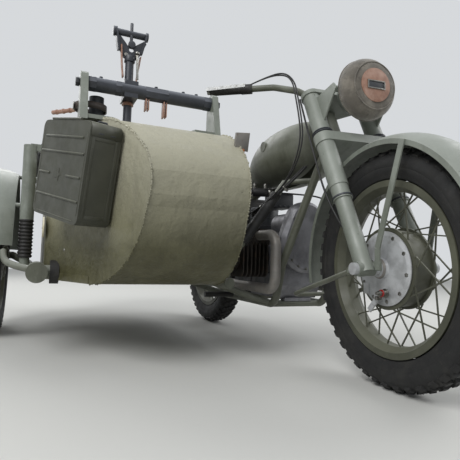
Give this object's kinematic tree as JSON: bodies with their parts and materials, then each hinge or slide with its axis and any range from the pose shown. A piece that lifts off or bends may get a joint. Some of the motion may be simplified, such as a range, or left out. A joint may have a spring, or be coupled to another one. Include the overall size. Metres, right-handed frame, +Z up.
{
  "type": "sidecar motorcycle",
  "caption": "Olive drab military motorcycle with a sidecar on its right, spoked wheels, spare wheel on the boot lid, equipment box and a stand over the cowl.",
  "frame": {"origin": "middle of the outfit's footprint, on the ground under its wheels", "axes": "+X forward, +Y to the rider's left, +Z up; the sidecar is on the -Y side"},
  "size_m": [2.4524, 1.6234, 1.1883],
  "materials": {
    "tyre_rubber": "worn black rubber with block tread",
    "olive_paint": "satin olive drab, weathered",
    "fender_paint": "satin lighter grey-green",
    "body_paint": "lumpy brushed olive over dents",
    "dark_paint": "satin black grey",
    "alloy": "dull cast alloy",
    "cast_iron": "dark oily cast iron",
    "pipe_steel": "heat-stained steel",
    "bright_steel": "worn plated steel",
    "black_rubber": "matt black rubber",
    "dark_leather": "dark worn leather",
    "canvas": "faded khaki canvas",
    "hickory": "orange-brown oiled wood"
  },
  "bodies": {
    "chassis": {"frame_spine": "olive_paint", "frame_cradle": "olive_paint", "rear_frame": "olive_paint", "swing_arm": "olive_paint", "rear_shocks": "dark_paint", "engine": "alloy", "gearbox": "alloy", "cylinders": "cast_iron", "carburettors": "alloy", "exhausts": "pipe_steel", "final_drive": "alloy", "fuel_tank": "olive_paint", "saddles": "black_rubber", "saddle_springs": "pipe_steel", "rear_fender": "olive_paint", "footrests": "black_rubber", "sidecar_body": "body_paint", "body_inner": "body_paint", "lid_hinge_leaves": "dark_paint", "sidecar_seat": "dark_leather", "sidecar_backrest": "dark_leather", "sidecar_frame": "olive_paint", "body_grommets": "black_rubber", "sidecar_struts": "olive_paint", "wheel_arm": "olive_paint", "sidecar_shock": "dark_paint", "sidecar_fender": "olive_paint", "equipment_box": "olive_paint", "equipment_box_lid": "olive_paint", "uprights": "olive_paint", "crossbar": "dark_paint", "mount_post": "dark_paint", "flask": "canvas", "hatchet": "hickory"},
    "fork": {"fork_leg_left": "olive_paint", "fork_leg_right": "olive_paint", "fork_yokes": "olive_paint", "front_brake": "alloy", "front_fender": "fender_paint", "headlamp": "olive_paint", "headlamp_cover": "canvas", "handlebar": "dark_paint", "grips": "black_rubber", "hand_levers": "bright_steel"},
    "wheel_front": {"front_tyre": "tyre_rubber", "front_wheel": "olive_paint"},
    "wheel_rear": {"rear_tyre": "tyre_rubber", "rear_wheel": "olive_paint"},
    "wheel_sidecar": {"sidecar_tyre": "tyre_rubber", "sidecar_wheel": "olive_paint"},
    "stand_front": {"front_stand": "olive_paint"},
    "stand_centre": {"centre_stand": "olive_paint"},
    "boot": {"boot_lid": "body_paint", "spare_tyre": "tyre_rubber", "spare_wheel": "olive_paint", "spare_carrier": "pipe_steel"},
    "cradle_head": {"cradle": "dark_paint"}
  },
  "joints": [
    {"name": "steering", "type": "hinge", "parent": "chassis", "child": "fork", "pos_m": [0.79393, 0.40335, 0.31344], "axis": [-0.4384, 0, 0.8988], "range_deg": [-31.6, 38.4]},
    {"name": "front_wheel_spin", "type": "hinge", "parent": "fork", "child": "wheel_front", "pos_m": [0.85852, 0.39908, 0.34494], "axis": [0.0533, 0.9982, 0.026], "continuous": true},
    {"name": "rear_wheel_spin", "type": "hinge", "parent": "chassis", "child": "wheel_rear", "pos_m": [-0.57636, 0.40335, 0.345], "axis": [0, 1, 0], "continuous": true},
    {"name": "sidecar_wheel_spin", "type": "hinge", "parent": "chassis", "child": "wheel_sidecar", "pos_m": [-0.44636, -0.72665, 0.345], "axis": [0, 1, 0], "continuous": true},
    {"name": "front_stand_swing", "type": "hinge", "parent": "fork", "child": "stand_front", "pos_m": [0.82059, 0.40131, 0.33697], "axis": [-0.0533, -0.9982, -0.026], "range_deg": [0, 78]},
    {"name": "centre_stand_swing", "type": "hinge", "parent": "chassis", "child": "stand_centre", "pos_m": [-0.13636, 0.40335, 0.222], "axis": [0, -1, 0], "range_deg": [0, 85]},
    {"name": "boot_lid_swing", "type": "hinge", "parent": "chassis", "child": "boot", "pos_m": [-0.62808, -0.26665, 0.86076], "axis": [0, 1, 0], "range_deg": [0, 38]},
    {"name": "cradle_swivel", "type": "hinge", "parent": "chassis", "child": "cradle_head", "pos_m": [0.27864, -0.28665, 1.0463], "axis": [0, 0, 1], "continuous": true}
  ]
}
